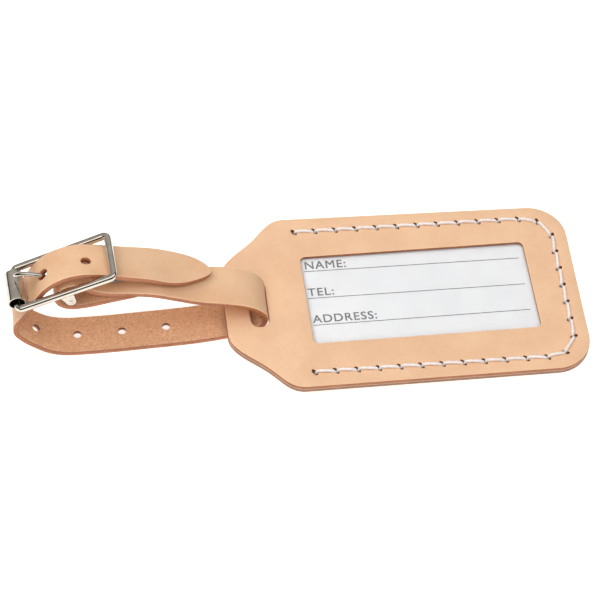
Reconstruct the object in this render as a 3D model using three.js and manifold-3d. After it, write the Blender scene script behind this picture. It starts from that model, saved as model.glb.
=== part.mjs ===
// A leather luggage tag: two stitched leather panels round a window and a name card, and a
// strap with a roller buckle that loops through the tag's slot.
// Millimetres. +X runs along the tag towards its stitched right end, +Z is up, and Z = 0 is the
// table the tag lies on. The origin is the middle of the object's footprint.
import * as THREE from "three";
import { mergeVertices } from "three/addons/utils/BufferGeometryUtils.js";
import Module from "manifold-3d";

const wasm = await Module();
wasm.setup();

// ---- driving dimensions -----------------------------------------------------------------
const GAP = 0.2; // left between pieces that touch
const PLY_GAP = 0.1; // left between the tag's two panels
const SLIP = 0.05; // left round the film and the card in their pocket
const OVERRUN = 1; // how far a cutter runs past the face it cuts

// The tag, in its own frame: x = 0 at its right end, y = 0 on its long axis, z = 0 at its back.
const TAG_LENGTH = 105.3;
const TAG_HALF_WIDTH = 30.4; // at the shoulders
const END_HALF_WIDTH = 29.6; // at the stitched right end
const CORNER_RADIUS = 11; // the two stitched corners
const SHOULDER_X = -85; // where the straight sides end
const NECK_HALF_WIDTH = 15.5; // the tag's left end
// Each shoulder is two curves; every point is given by how far it lies left of SHOULDER_X and
// in from TAG_HALF_WIDTH.
const SHOULDER_CURVE = [[4.5, 0.3], [6, 3.6], [10, 7.6]];
const NECK_CURVE_START = [14, 11.4];
const NECK_CORNER = 5;
const BACK_THICKNESS = 1.35;
const FRONT_THICKNESS = 1.35;
const FRONT_Z = BACK_THICKNESS + PLY_GAP;
const TAG_THICKNESS = FRONT_Z + FRONT_THICKNESS;
const TAG_RIGHT_X = 83.9; // the tag's right end in the object's frame
const TAG_TILT = THREE.MathUtils.degToRad(1.25); // its left end rests on the strap

// The window and what lies behind it sit a little off the tag's axis, and a little turned.
const INSET_TURN = { x: -47.3, y: 0.68, angle: THREE.MathUtils.degToRad(0.7) };
const WINDOW = { left: -80.95, right: -13.65, halfWidth: 15.65, corner: 1.6 };
const SLOT = { left: -98.2, right: -92.75, halfLength: 8.4 };

// The pocket between the panels, which holds the film and the card.
const POCKET = { left: -92.1, right: -9.2, halfWidth: 20.6, corner: 2 };
const POCKET_IN_BACK = 0.3;
const POCKET_IN_FRONT = 0.25;
const FILM = { left: -85.2, right: -10.2, halfWidth: 19.5, corner: 2, thickness: 0.2 };
const CARD = { left: -84.7, right: -9.7, halfWidth: 20, corner: 2, thickness: 0.3 };

// The seam: one hole every pitch along three sides, set in from the edge.
const STITCH_PITCH = 6.2;
const SEAM_INSET = 4.5;
const SEAM_HALF_WIDTH = 25.4;
const SEAM_START_X = -13.6; // the first hole of each side, after the corner's
const SEAM_CORNER = { x: -8, y: 24.1 };
const HOLES_PER_SIDE = 12;
const HOLES_AT_END = 7;
const AWL_RADIUS = 0.75;
const THREAD_RADIUS = 0.4;
const THREAD_GAP = 0.1; // left between a stitch and the leather
const GROOVE_DEPTH = 0.95; // a channel that keeps the back stitches off the table
const GROOVE_WIDTH = 1.8;

// The strap: one strip, cut flat and bent along the route below.
const STRAP_WIDTH = 12.4;
const STRAP_THICKNESS = 1.8;
const TIP_LENGTH = 18; // the pointed end narrows over this length
const TIP_POINT = 2.1; // the powers that give the tip's outline its shape
const TIP_FULLNESS = 0.66;
const PUNCH_RADIUS = 1.5;
const FIRST_HOLE = 38.75; // from the tip
const HOLE_PITCH = 12.9;
const HOLE_DRIFT = -0.6; // the first hole's place across the strap; the fourth is central
const DRIFT_HOLES = 3; // the drift ends at the hole with this index
const PUNCH_REACH = 0.85; // of the strap's thickness, each way from its middle
const HOLE_COUNT = 7;
const TAB_SKIVE = { length: 9, thickness: 0.9 }; // the hidden end is pared thin

// The strap's centre line from its pointed tip to its folded end: x, y, z and the roll about
// the line in degrees, which lifts the far edge.
const STRAP_ROUTE = [
  // the free end, lying on the upper run
  [-24.8, 4.4, 15.6, 3], [-30.6, 4.8, 17.2, 1], [-37.2, 4.1, 19.8, -2],
  // up under the buckle's end bar and over its centre bar
  [-43.8, 3.3, 23, -6], [-50.6, 2.65, 25.5, -8], [-57, 2.3, 27.6, -9],
  [-63, 2.05, 28.65, -8.5], [-68.4, 1.72, 27.6, -6.5], [-72.7, 1.42, 24.75, -3.5],
  // under the roller
  [-75.6, 1.1, 20.8, -1], [-77.9, 0.7, 17, -1], [-80.2, 0.1, 13.9, 0],
  // the left bend
  [-81.7, -0.6, 11.3, 0], [-81.5, -1.4, 8.5, 1], [-79.3, -2.2, 6.1, 2], [-76.2, -2.9, 4, 2],
  [-72.6, -3.5, 2.1, 1], [-68, -3.9, 1.1, 0],
  // the lower run, flat on the table
  [-62, -4.05, 1, 0], [-54, -4, 1, 0], [-46, -3.75, 1, 0], [-38, -3.5, 1, 0],
  [-30, -3.1, 1, 0], [-22, -2.25, 1, 0], [-16.5, -1.2, 1, 0],
  // up through the tag's slot
  [-13.1, -0.5, 1.2, 0], [-10.85, -0.1, 2.3, 0], [-10.05, 0.1, 4.4, 0], [-10.4, 0.4, 6.8, 2],
  // the upper run
  [-12.8, 0.7, 9.6, 5], [-17, 1, 11.7, 8], [-22.6, 1.2, 13, 7], [-29, 1.4, 13.9, 3],
  [-35.4, 1.6, 16.1, 2], [-42, 1.3, 19.1, 2], [-48.5, 1.5, 20.1, 1], [-54.5, 1.9, 20.1, -1],
  [-59.2, 2, 21.4, -3], [-62.6, 1.9, 23.9, -3],
  // the fold round the buckle's centre bar
  [-65.8, 1.7, 24.8, -2], [-68.6, 1.5, 23.4, -1], [-69.8, 1.4, 20.6, 0],
  [-68.6, 1.3, 17.8, 0], [-65.6, 1.2, 16.4, 0],
  // the tab, turned back below the upper run
  [-60.5, 1.3, 16.7, 0], [-54, 1.8, 17.6, 0], [-47.5, 2.6, 18, 0],
];
const ROUTE_STEPS = 210;

// The buckle, in its own frame: x = 0 on the roller's axis and x = BUCKLE_LENGTH on the end
// bar, y = 0 on the middle line, and z = 0 in the plane of the rails.
const BUCKLE_PLACE = { x: -81.35, y: 0.7, z: 19.4 };
const BUCKLE_YAW = THREE.MathUtils.degToRad(3.5);
const BUCKLE_PITCH = THREE.MathUtils.degToRad(20.9);
const BUCKLE_LENGTH = 29.5;
const BUCKLE_WIDTH = { axle: 14.4, end: 15 }; // between the rails' middle lines
const WIRE_RADIUS = 0.92;
const BUCKLE_CORNER = 1.4;
const BAR = { x: 14.58, drop: 4.12, radius: 0.9 };
const BAR_ROOM = 0.05; // round the bar in its two bores
const LUG = { halfWidth: 1.45, thickness: 1.1, flare: 0.7 };
// The roller hangs loose on the frame's left side, slid to the far rail.
const ROLLER = { outer: 2.7, inner: 2.05, length: 10.3, seam: 0.5, y: 0.2 };

// The prong, in the buckle's frame, with its eye round the centre bar.
const PRONG_RADIUS = 0.75;
const PRONG_EYE = 1.8;
const PRONG_SLOT_ANGLES = [135, 150, 165, 180]; // degrees round the centre bar
const PRONG_SLOT_REACH = 3.2; // outwards from the eye
const PRONG_SLOT_ROOM = 1; // beside the prong
const EYE_START = 180; // degrees round the bar, from +x towards +z
const EYE_END = 440;
const PRONG_SHANK = [
  [12.5, 0, -2], [10.8, -0.1, -1], [9.9, -0.35, 1], [8.4, -0.25, 3.1],
  [5.9, 0.5, 4.15], [3.4, 1.3, 4.35], [1.1, 1.9, 3.75],
];

// The rivet that closes the fold.
const RIVET = { x: -52.8, y: 2.0, post: 1.1, head: 2.8, cap: 3.0, headHeight: 0.6, capHeight: 0.9 };
const RIVET_TOP = 21.3; // the upper run's top face where the rivet stands
const RIVET_BOTTOM = 16.5; // the tab's lower face there

// ---- solid helpers ----------------------------------------------------------------------
function toSolid(geometry) {
  const bare = geometry.index ? geometry.toNonIndexed() : geometry.clone();
  bare.deleteAttribute("normal");
  bare.deleteAttribute("uv");
  const merged = mergeVertices(bare, 1e-4);
  return new wasm.Manifold(
    new wasm.Mesh({
      numProp: 3,
      vertProperties: new Float32Array(merged.attributes.position.array),
      triVerts: new Uint32Array(merged.index.array),
    }),
  );
}

function toGeometry(solid) {
  const mesh = solid.getMesh();
  const geometry = new THREE.BufferGeometry();
  geometry.setAttribute("position", new THREE.BufferAttribute(mesh.vertProperties, 3));
  geometry.setIndex(new THREE.BufferAttribute(mesh.triVerts, 1));
  geometry.computeVertexNormals();
  return geometry;
}

const join = (solids) => solids.reduce((whole, solid) => whole.add(solid));
const cut = (solid, tools) => tools.reduce((whole, tool) => whole.subtract(tool), solid);

// A cylinder between two points.
function rod(from, to, radius, sides = 8) {
  const axis = new THREE.Vector3().subVectors(to, from);
  const geometry = new THREE.CylinderGeometry(radius, radius, axis.length(), sides);
  const turn = new THREE.Quaternion().setFromUnitVectors(
    new THREE.Vector3(0, 1, 0),
    axis.clone().normalize(),
  );
  geometry.applyQuaternion(turn);
  geometry.translate((from.x + to.x) / 2, (from.y + to.y) / 2, (from.z + to.z) / 2);
  return toSolid(geometry);
}

function block(low, high) {
  const geometry = new THREE.BoxGeometry(high[0] - low[0], high[1] - low[1], high[2] - low[2]);
  geometry.translate((low[0] + high[0]) / 2, (low[1] + high[1]) / 2, (low[2] + high[2]) / 2);
  return toSolid(geometry);
}

function slab(shape, bottom, thickness, curveSegments = 5) {
  const geometry = new THREE.ExtrudeGeometry(shape, {
    depth: thickness,
    bevelEnabled: false,
    curveSegments,
  });
  geometry.translate(0, 0, bottom);
  return toSolid(geometry);
}

function namedMesh(name, geometry, color, roughness, metalness) {
  const material = new THREE.MeshStandardMaterial({ color, roughness, metalness });
  const mesh = new THREE.Mesh(geometry, material);
  mesh.name = name;
  return mesh;
}

// ---- the tag's panels -------------------------------------------------------------------
// A rectangle, rounded at its corners, from box = {left, right, halfWidth, corner}.
function roundedBox(box) {
  const { left, right, halfWidth: half, corner: r } = box;
  const shape = new THREE.Shape();
  shape.moveTo(left + r, -half);
  shape.lineTo(right - r, -half);
  shape.absarc(right - r, -half + r, r, -Math.PI / 2, 0);
  shape.lineTo(right, half - r);
  shape.absarc(right - r, half - r, r, 0, Math.PI / 2);
  shape.lineTo(left + r, half);
  shape.absarc(left + r, half - r, r, Math.PI / 2, Math.PI);
  shape.lineTo(left, -half + r);
  shape.absarc(left + r, -half + r, r, Math.PI, 1.5 * Math.PI);
  return shape;
}

function slotShape() {
  const radius = (SLOT.right - SLOT.left) / 2;
  return roundedBox({ ...SLOT, halfWidth: SLOT.halfLength, corner: radius - 0.01 });
}

// The tag's outline: straight sides, two round corners, and shoulders that sweep in to a
// narrower left end.
function tagShape() {
  const w = TAG_HALF_WIDTH;
  const end = END_HALF_WIDTH;
  const r = CORNER_RADIUS;
  const neck = NECK_HALF_WIDTH;
  const [a, b, c] = SHOULDER_CURVE.map(([left, inward]) => [SHOULDER_X - left, w - inward]);
  const d = [SHOULDER_X - NECK_CURVE_START[0], w - NECK_CURVE_START[1]];
  const shape = new THREE.Shape();
  shape.moveTo(SHOULDER_X, -w);
  shape.lineTo(-r, -end);
  shape.absarc(-r, -end + r, r, -Math.PI / 2, 0);
  shape.lineTo(0, end - r);
  shape.absarc(-r, end - r, r, 0, Math.PI / 2);
  shape.lineTo(SHOULDER_X, w);
  shape.bezierCurveTo(...a, ...b, ...c);
  shape.bezierCurveTo(...d, -TAG_LENGTH, neck, -TAG_LENGTH, neck - NECK_CORNER);
  shape.lineTo(-TAG_LENGTH, NECK_CORNER - neck);
  shape.bezierCurveTo(-TAG_LENGTH, -neck, d[0], -d[1], c[0], -c[1]);
  shape.bezierCurveTo(b[0], -b[1], a[0], -a[1], SHOULDER_X, -w);
  return shape;
}

// The seam's holes, in order from the top left, down the right end, to the bottom left.
function seamHoles() {
  const holes = [];
  for (let i = HOLES_PER_SIDE - 1; i >= 0; i--)
    holes.push([SEAM_START_X - i * STITCH_PITCH, SEAM_HALF_WIDTH]);
  holes.push([SEAM_CORNER.x, SEAM_CORNER.y]);
  for (let i = 0; i < HOLES_AT_END; i++)
    holes.push([-SEAM_INSET, ((HOLES_AT_END - 1) / 2 - i) * STITCH_PITCH]);
  holes.push([SEAM_CORNER.x, -SEAM_CORNER.y]);
  for (let i = 0; i < HOLES_PER_SIDE; i++)
    holes.push([SEAM_START_X - i * STITCH_PITCH, -SEAM_HALF_WIDTH]);
  return holes;
}

function awlHoles(bottom, top) {
  return seamHoles().map(([x, y]) =>
    rod(new THREE.Vector3(x, y, bottom - 1), new THREE.Vector3(x, y, top + 1), AWL_RADIUS, 6),
  );
}

// The channel that the back stitches lie in: a short box from each hole to the next.
function backGroove() {
  const holes = seamHoles();
  return holes.slice(1).map(([x, y], i) => {
    const [x0, y0] = holes[i];
    const length = Math.hypot(x - x0, y - y0) + GROOVE_WIDTH;
    const geometry = new THREE.BoxGeometry(length, GROOVE_WIDTH, 2 * GROOVE_DEPTH);
    geometry.rotateZ(Math.atan2(y - y0, x - x0));
    geometry.translate((x + x0) / 2, (y + y0) / 2, 0);
    return toSolid(geometry);
  });
}

// A slab of a rounded box, turned with the window.
function insetSlab(box, bottom, thickness) {
  const { x, y, angle } = INSET_TURN;
  return slab(roundedBox(box), bottom, thickness, 3)
    .translate([-x, 0, 0])
    .rotate([0, 0, THREE.MathUtils.radToDeg(angle)])
    .translate([x, y, 0]);
}

function frontPanel() {
  const whole = slab(tagShape(), FRONT_Z, FRONT_THICKNESS);
  return cut(whole, [
    insetSlab(WINDOW, FRONT_Z - OVERRUN, FRONT_THICKNESS + 2 * OVERRUN),
    slab(slotShape(), FRONT_Z - OVERRUN, FRONT_THICKNESS + 2 * OVERRUN),
    insetSlab(POCKET, FRONT_Z - OVERRUN, OVERRUN + POCKET_IN_FRONT),
    join(awlHoles(FRONT_Z, TAG_THICKNESS)),
  ]);
}

function backPanel() {
  const whole = slab(tagShape(), 0, BACK_THICKNESS);
  return cut(whole, [
    slab(slotShape(), -1, BACK_THICKNESS + 2),
    insetSlab(POCKET, BACK_THICKNESS - POCKET_IN_BACK, 1),
    join(awlHoles(0, BACK_THICKNESS)),
    join(backGroove()),
  ]);
}

function windowFilm() {
  const top = FRONT_Z + POCKET_IN_FRONT - SLIP;
  return insetSlab(FILM, top - FILM.thickness, FILM.thickness);
}

function nameCard() {
  const bottom = BACK_THICKNESS - POCKET_IN_BACK + SLIP;
  return insetSlab(CARD, bottom, CARD.thickness);
}

// One thread: a post in each hole, and a stitch on each face from every hole to the next.
function seamThread() {
  const holes = seamHoles();
  const low = GROOVE_DEPTH - THREAD_GAP - THREAD_RADIUS;
  const high = TAG_THICKNESS + THREAD_GAP + THREAD_RADIUS;
  const end = 0.8 * THREAD_RADIUS; // how far a stitch runs past its holes
  const posts = holes.map(([x, y]) =>
    rod(new THREE.Vector3(x, y, low), new THREE.Vector3(x, y, high), THREAD_RADIUS, 6),
  );
  const stitches = holes.slice(1).flatMap(([x, y], i) => {
    const from = new THREE.Vector3(holes[i][0], holes[i][1], 0);
    const to = new THREE.Vector3(x, y, 0);
    const along = to.clone().sub(from).setLength(end);
    return [low, high].map((z) =>
      rod(from.clone().sub(along).setZ(z), to.clone().add(along).setZ(z), THREAD_RADIUS, 6),
    );
  });
  return join([...posts, ...stitches]);
}

function tag() {
  const group = new THREE.Group();
  group.add(
    namedMesh("back_panel", toGeometry(backPanel()), 0xe6b98c, 0.62, 0),
    namedMesh("front_panel", toGeometry(frontPanel()), 0xecc096, 0.55, 0),
    namedMesh("name_card", toGeometry(nameCard()), 0xf2f2f0, 0.8, 0),
    namedMesh("window_film", toGeometry(windowFilm()), 0xe8f0f4, 0.08, 0),
    namedMesh("seam_thread", toGeometry(seamThread()), 0xf6efe8, 0.85, 0),
  );
  group.position.x = TAG_RIGHT_X;
  group.rotation.y = TAG_TILT;
  return group;
}

// ---- the strap --------------------------------------------------------------------------
const routeLine = new THREE.CatmullRomCurve3(
  STRAP_ROUTE.map(([x, y, z]) => new THREE.Vector3(x, y, z)),
  false,
  "catmullrom",
);
const rollLine = new THREE.CatmullRomCurve3(
  STRAP_ROUTE.map(([, , , roll]) => new THREE.Vector3(roll, 0, 0)),
  false,
  "catmullrom",
);

// The strap's frame at a parameter of its route: the point, the line's direction, the way
// across to the far edge, and the way out of the grain side.
function strapFrame(t) {
  const along = routeLine.getTangent(t);
  const flat = new THREE.Vector3(0, 1, 0).addScaledVector(along, -along.y).normalize();
  const roll = THREE.MathUtils.degToRad(rollLine.getPoint(t).x);
  const across = flat.applyAxisAngle(along, -roll);
  const out = new THREE.Vector3().crossVectors(across, along);
  return { point: routeLine.getPoint(t), along, across, out };
}

// The same, at a distance from the tip.
function strapFrameAt(distance) {
  const length = routeLine.getLength();
  return strapFrame(routeLine.getUtoTmapping(Math.min(1, distance / length)));
}

// Half the strap's width at a distance from the tip: a round point that widens to the full
// width over TIP_LENGTH.
function strapHalfWidth(distance) {
  const full = STRAP_WIDTH / 2;
  if (distance >= TIP_LENGTH) return full;
  const u = 1 - distance / TIP_LENGTH;
  return full * Math.pow(1 - Math.pow(u, TIP_POINT), TIP_FULLNESS);
}

function strapThickness(distanceFromTab) {
  const share = Math.min(1, distanceFromTab / TAB_SKIVE.length);
  return TAB_SKIVE.thickness + (STRAP_THICKNESS - TAB_SKIVE.thickness) * share;
}

// A flat band along the route, with a rectangular section at every step.
function strapBand() {
  const length = routeLine.getLength();
  const positions = [];
  const faces = [];
  const ring = [[-1, -1], [1, -1], [1, 1], [-1, 1]];
  const stations = [0.02, 0.25, 0.7, 1.3];
  for (let i = 2; i <= ROUTE_STEPS; i++) stations.push((i * length) / ROUTE_STEPS);
  for (const distance of stations) {
    const { point, across, out } = strapFrameAt(distance);
    const half = strapHalfWidth(distance);
    const thickness = strapThickness(length - distance);
    const middle = point.clone().addScaledVector(out, (STRAP_THICKNESS - thickness) / 2);
    for (const [side, face] of ring)
      positions.push(
        ...middle
          .clone()
          .addScaledVector(across, side * half)
          .addScaledVector(out, (face * thickness) / 2)
          .toArray(),
      );
  }
  const last = (stations.length - 1) * 4;
  for (let i = 0; i < last; i += 4)
    for (let j = 0; j < 4; j++) {
      const k = (j + 1) % 4;
      faces.push(i + j, i + 4 + j, i + k, i + k, i + 4 + j, i + 4 + k);
    }
  faces.push(0, 1, 2, 0, 2, 3, last, last + 2, last + 1, last, last + 3, last + 2);
  const geometry = new THREE.BufferGeometry();
  geometry.setAttribute("position", new THREE.Float32BufferAttribute(positions, 3));
  geometry.setIndex(faces);
  return toSolid(geometry);
}

function punchedHole(index) {
  const { point, across, out } = strapFrameAt(FIRST_HOLE + index * HOLE_PITCH);
  const reach = STRAP_THICKNESS * PUNCH_REACH;
  const middle = point.clone().addScaledVector(across, HOLE_DRIFT * Math.max(0, 1 - index / DRIFT_HOLES));
  const low = middle.clone().addScaledVector(out, -reach);
  const high = middle.clone().addScaledVector(out, reach);
  return rod(low, high, PUNCH_RADIUS, 12);
}

// The long hole in the fold that lets the prong out, cut square to the fold.
function prongSlot() {
  const bar = barMiddle();
  const across = PRONG_RADIUS + PRONG_SLOT_ROOM;
  return PRONG_SLOT_ANGLES.map((degrees) => {
    const angle = THREE.MathUtils.degToRad(degrees);
    const ray = new THREE.Vector3(Math.cos(angle), 0, Math.sin(angle));
    const inner = bar.clone().addScaledVector(ray, PRONG_EYE);
    const outer = bar.clone().addScaledVector(ray, PRONG_EYE + PRONG_SLOT_REACH);
    return rod(inner, outer, across, 8);
  });
}

function rivetBore() {
  const low = new THREE.Vector3(RIVET.x, RIVET.y, RIVET_BOTTOM - 2 * OVERRUN);
  const high = new THREE.Vector3(RIVET.x, RIVET.y, RIVET_TOP + 1.2 * OVERRUN);
  return rod(low, high, RIVET.post + GAP, 12);
}

function strap() {
  const holes = Array.from({ length: HOLE_COUNT }, (_, i) => punchedHole(i));
  return cut(strapBand(), [...holes, ...prongSlot(), rivetBore()]);
}

// ---- the rivet --------------------------------------------------------------------------
function turned(profile, segments) {
  const geometry = new THREE.LatheGeometry(
    profile.map(([r, z]) => new THREE.Vector2(r, z)),
    segments,
  );
  geometry.rotateX(Math.PI / 2);
  return geometry;
}

// The post comes up through both layers from a flat head under the tab.
function rivetPost() {
  const { post, head, headHeight } = RIVET;
  const base = RIVET_BOTTOM - GAP;
  const top = RIVET_TOP + GAP;
  return turned(
    [[0, base - headHeight], [head - 0.3, base - headHeight], [head, base - 0.2], [head, base],
     [post, base], [post, top], [0, top]],
    20,
  );
}

// The cap is pressed down on the post's end, over the upper run.
function rivetCap() {
  const { cap, capHeight } = RIVET;
  const base = RIVET_TOP + 2 * GAP;
  return turned(
    [[0, base], [cap, base], [cap, base + 0.3], [cap * 0.75, base + capHeight * 0.85],
     [0, base + capHeight]],
    20,
  );
}

// ---- the buckle -------------------------------------------------------------------------
function barMiddle() {
  return new THREE.Vector3(BAR.x, 0, -BAR.drop)
    .applyEuler(buckleTurn())
    .add(new THREE.Vector3(BUCKLE_PLACE.x, BUCKLE_PLACE.y, BUCKLE_PLACE.z));
}

function buckleTurn() {
  return new THREE.Euler(0, -BUCKLE_PITCH, BUCKLE_YAW, "ZYX");
}

// Half the frame's width at a distance from the axle.
function railHalf(x) {
  const { axle, end } = BUCKLE_WIDTH;
  return (axle + ((end - axle) * x) / BUCKLE_LENGTH) / 2;
}

// A closed loop of wire with round corners, a little wider at its end bar than at its left
// side, which is the roller's axle.
function wireLoop() {
  const path = new THREE.CurvePath();
  const r = BUCKLE_CORNER;
  const near = railHalf(0);
  const far = railHalf(BUCKLE_LENGTH);
  const corners = [[0, -near], [BUCKLE_LENGTH, -far], [BUCKLE_LENGTH, far], [0, near]];
  corners.forEach(([x, y], i) => {
    const [xn, yn] = corners[(i + 1) % 4];
    const [xp, yp] = corners[(i + 3) % 4];
    const toward = (px, py) => {
      const d = new THREE.Vector3(px - x, py - y, 0).setLength(r);
      return d.add(new THREE.Vector3(x, y, 0));
    };
    const start = toward(xp, yp);
    const end = toward(xn, yn);
    const corner = new THREE.Vector3(x, y, 0);
    path.add(new THREE.QuadraticBezierCurve3(start, corner, end));
    const nextStart = new THREE.Vector3(xn, yn, 0).add(
      new THREE.Vector3(x - xn, y - yn, 0).setLength(r),
    );
    path.add(new THREE.LineCurve3(end, nextStart));
  });
  return path;
}

// Rings of a round section set square to a closed, flat path.
function wireRing(path, radius, sides) {
  const stations = path.curves.flatMap((curve) => {
    const steps = curve.isLineCurve3 ? 1 : 4;
    return Array.from({ length: steps }, (_, i) => ({
      point: curve.getPoint(i / steps),
      along: curve.getTangent(i / steps),
    }));
  });
  const positions = [];
  const faces = [];
  const up = new THREE.Vector3(0, 0, 1);
  stations.forEach(({ point, along }) => {
    const out = new THREE.Vector3().crossVectors(along, up);
    for (let j = 0; j < sides; j++) {
      const angle = (2 * Math.PI * j) / sides;
      positions.push(
        ...point
          .clone()
          .addScaledVector(out, radius * Math.cos(angle))
          .addScaledVector(up, radius * Math.sin(angle))
          .toArray(),
      );
    }
  });
  const count = stations.length;
  for (let i = 0; i < count; i++)
    for (let j = 0; j < sides; j++) {
      const a = i * sides + j;
      const b = i * sides + ((j + 1) % sides);
      const c = ((i + 1) % count) * sides + j;
      const d = ((i + 1) % count) * sides + ((j + 1) % sides);
      faces.push(a, c, b, b, c, d);
    }
  const geometry = new THREE.BufferGeometry();
  geometry.setAttribute("position", new THREE.Float32BufferAttribute(positions, 3));
  geometry.setIndex(faces);
  return toSolid(geometry);
}

// The frame: the wire loop and a flat lug under each rail that holds the centre bar.
function buckleFrame() {
  const half = railHalf(BAR.x);
  const lug = new THREE.Shape();
  lug.moveTo(-LUG.halfWidth - LUG.flare, 0);
  lug.lineTo(-LUG.halfWidth, -BAR.drop);
  lug.absarc(0, -BAR.drop, LUG.halfWidth, Math.PI, 2 * Math.PI);
  lug.lineTo(LUG.halfWidth + LUG.flare, 0);
  const lugs = [-1, 1].map((side) => {
    const geometry = new THREE.ExtrudeGeometry(lug, {
      depth: LUG.thickness,
      bevelEnabled: false,
      curveSegments: 6,
    });
    geometry.rotateX(Math.PI / 2);
    geometry.translate(BAR.x, side * half + LUG.thickness / 2, 0);
    return toSolid(geometry);
  });
  const bores = rod(
    new THREE.Vector3(BAR.x, -half - OVERRUN, -BAR.drop),
    new THREE.Vector3(BAR.x, half + OVERRUN, -BAR.drop),
    BAR.radius + BAR_ROOM,
    12,
  );
  const whole = join([wireRing(wireLoop(), WIRE_RADIUS, 10), ...lugs]);
  return cut(whole, [bores]);
}

function centerBar() {
  const half = railHalf(BAR.x) + LUG.thickness / 2;
  return rod(
    new THREE.Vector3(BAR.x, -half, -BAR.drop),
    new THREE.Vector3(BAR.x, half, -BAR.drop),
    BAR.radius,
    12,
  );
}

// A rolled tube with an open seam along its length, loose on the frame's axle.
function roller() {
  const { outer, inner, length, seam, y } = ROLLER;
  const tube = new THREE.Shape();
  const gap = Math.asin(seam / outer);
  tube.absarc(0, 0, outer, gap, 2 * Math.PI - gap);
  tube.absarc(0, 0, inner, 2 * Math.PI - gap, gap, true);
  const geometry = new THREE.ExtrudeGeometry(tube, {
    depth: length,
    bevelEnabled: false,
    curveSegments: 20,
  });
  geometry.rotateX(Math.PI / 2);
  geometry.translate(0, length / 2 + y, 0);
  return geometry;
}

// The prong: a round wire whose eye wraps the centre bar, and whose shank rises through the
// strap's hole and comes to rest over the roller.
function prong() {
  const points = [];
  const eyeSteps = 11;
  for (let i = 0; i <= eyeSteps; i++) {
    const angle = THREE.MathUtils.degToRad(EYE_START + ((EYE_END - EYE_START) * i) / eyeSteps);
    points.push(
      new THREE.Vector3(
        BAR.x + PRONG_EYE * Math.cos(angle),
        0,
        -BAR.drop + PRONG_EYE * Math.sin(angle),
      ),
    );
  }
  PRONG_SHANK.forEach(([x, y, z]) => points.push(new THREE.Vector3(x, y, z)));
  const section = new THREE.Shape().absarc(0, 0, PRONG_RADIUS, 0, 2 * Math.PI);
  return new THREE.ExtrudeGeometry(section, {
    steps: 44,
    curveSegments: 8,
    bevelEnabled: false,
    extrudePath: new THREE.CatmullRomCurve3(points),
  });
}

function buckle() {
  const group = new THREE.Group();
  group.add(
    namedMesh("buckle_frame", toGeometry(buckleFrame()), 0xc9c4ba, 0.22, 1),
    namedMesh("center_bar", toGeometry(centerBar()), 0xc4bfb5, 0.3, 1),
    namedMesh("roller", toGeometry(toSolid(roller())), 0xbdb7ab, 0.28, 1),
    namedMesh("prong", toGeometry(toSolid(prong())), 0xcfc9be, 0.2, 1),
  );
  group.position.set(BUCKLE_PLACE.x, BUCKLE_PLACE.y, BUCKLE_PLACE.z);
  group.rotation.copy(buckleTurn());
  return group;
}

const luggageTag = new THREE.Group();
luggageTag.add(
  tag(),
  namedMesh("strap", toGeometry(strap()), 0xe7bd94, 0.58, 0),
  namedMesh("rivet_post", rivetPost().translate(RIVET.x, RIVET.y, 0), 0xbab3a6, 0.35, 1),
  namedMesh("rivet_cap", rivetCap().translate(RIVET.x, RIVET.y, 0), 0xc4bdb0, 0.3, 1),
  buckle(),
);
export default luggageTag;
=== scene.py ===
"""A leather luggage tag: two stitched panels round a window and a name card, on a buckled strap.

Lengths are written in millimetres in the part's own frame, and become metres in add_piece().
"""
import math

import bpy
import numpy as np
from mathutils import Matrix, Vector, geometry


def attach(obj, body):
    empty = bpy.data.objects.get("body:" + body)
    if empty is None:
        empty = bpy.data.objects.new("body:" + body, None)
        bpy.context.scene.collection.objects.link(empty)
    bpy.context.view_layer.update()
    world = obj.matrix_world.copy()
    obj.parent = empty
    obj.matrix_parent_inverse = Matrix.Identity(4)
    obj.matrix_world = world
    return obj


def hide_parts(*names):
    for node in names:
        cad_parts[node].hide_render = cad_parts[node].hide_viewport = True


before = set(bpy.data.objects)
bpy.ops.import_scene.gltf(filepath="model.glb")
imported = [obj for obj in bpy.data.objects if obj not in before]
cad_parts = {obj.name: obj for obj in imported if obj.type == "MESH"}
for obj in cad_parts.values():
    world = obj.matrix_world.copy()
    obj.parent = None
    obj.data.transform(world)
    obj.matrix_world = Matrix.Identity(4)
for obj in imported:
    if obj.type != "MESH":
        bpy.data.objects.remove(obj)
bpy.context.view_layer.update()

MM = 0.001

# ---- the part's dimensions: as in the CAD source, unless a comment says otherwise ----------
GAP = 0.2
PLY_GAP = 0.1
TAG_LENGTH = 105.3
TAG_HALF_WIDTH = 30.4
END_HALF_WIDTH = 29.6
CORNER_RADIUS = 11.0
SHOULDER_X = -85.0
NECK_HALF_WIDTH = 15.5
SHOULDER_CURVE = ((4.5, 0.3), (6.0, 3.6), (10.0, 7.6))  # steps left and in from the shoulder
NECK_CURVE_START = (14.0, 11.4)
NECK_CORNER = 5.0
BACK_THICKNESS = 1.35
FRONT_THICKNESS = 1.35
FRONT_Z = BACK_THICKNESS + PLY_GAP
TAG_TOP = FRONT_Z + FRONT_THICKNESS
TAG_RIGHT_X = 83.9
TAG_TILT = math.radians(1.25)
PLY_LINE = 0.06  # the dark line between the two panels

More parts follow.
